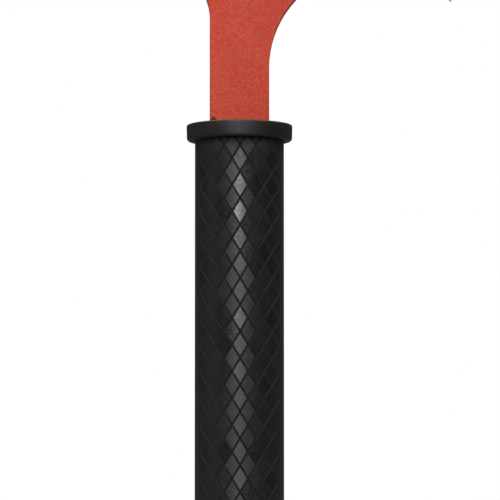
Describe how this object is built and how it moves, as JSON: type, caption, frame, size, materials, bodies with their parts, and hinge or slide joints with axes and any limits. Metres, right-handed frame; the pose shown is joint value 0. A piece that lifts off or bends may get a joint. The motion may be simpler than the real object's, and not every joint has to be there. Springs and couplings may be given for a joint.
{
  "type": "crash axe",
  "caption": "Hand-held rescue axe: flat red steel head with a cutting blade and a pick, on a round diamond-grooved black rubber grip with a guard flange.",
  "frame": {"origin": "on the handle's axis, on the flat end face of the butt cap", "axes": "+Z along the handle towards the head, +X towards the blade, the pick on -X, Y through the plate's thickness; the picture looks along +Y"},
  "size_m": [0.2039, 0.0452, 0.3657],
  "materials": {
    "red_steel": "red powder coat, bare ground steel on the bevels",
    "scale_laminate": "matte phenolic laminate",
    "rivet_steel": "bare steel",
    "liner_plastic": "natural insulating sheet",
    "grip_rubber": "satin black rubber with diamond grooves",
    "guard_rubber": "smooth satin black rubber",
    "seal_rubber": "matte black sealant"
  },
  "bodies": {
    "root": {"axe_plate": "red_steel", "front_scale": "scale_laminate", "back_scale": "scale_laminate", "tang_rivets": "rivet_steel", "rivet_burrs": "rivet_steel", "insulating_liner": "liner_plastic", "grip_sleeve": "grip_rubber", "guard_collar": "guard_rubber", "neck_seal": "seal_rubber", "butt_cap": "grip_rubber"}
  },
  "joints": []
}
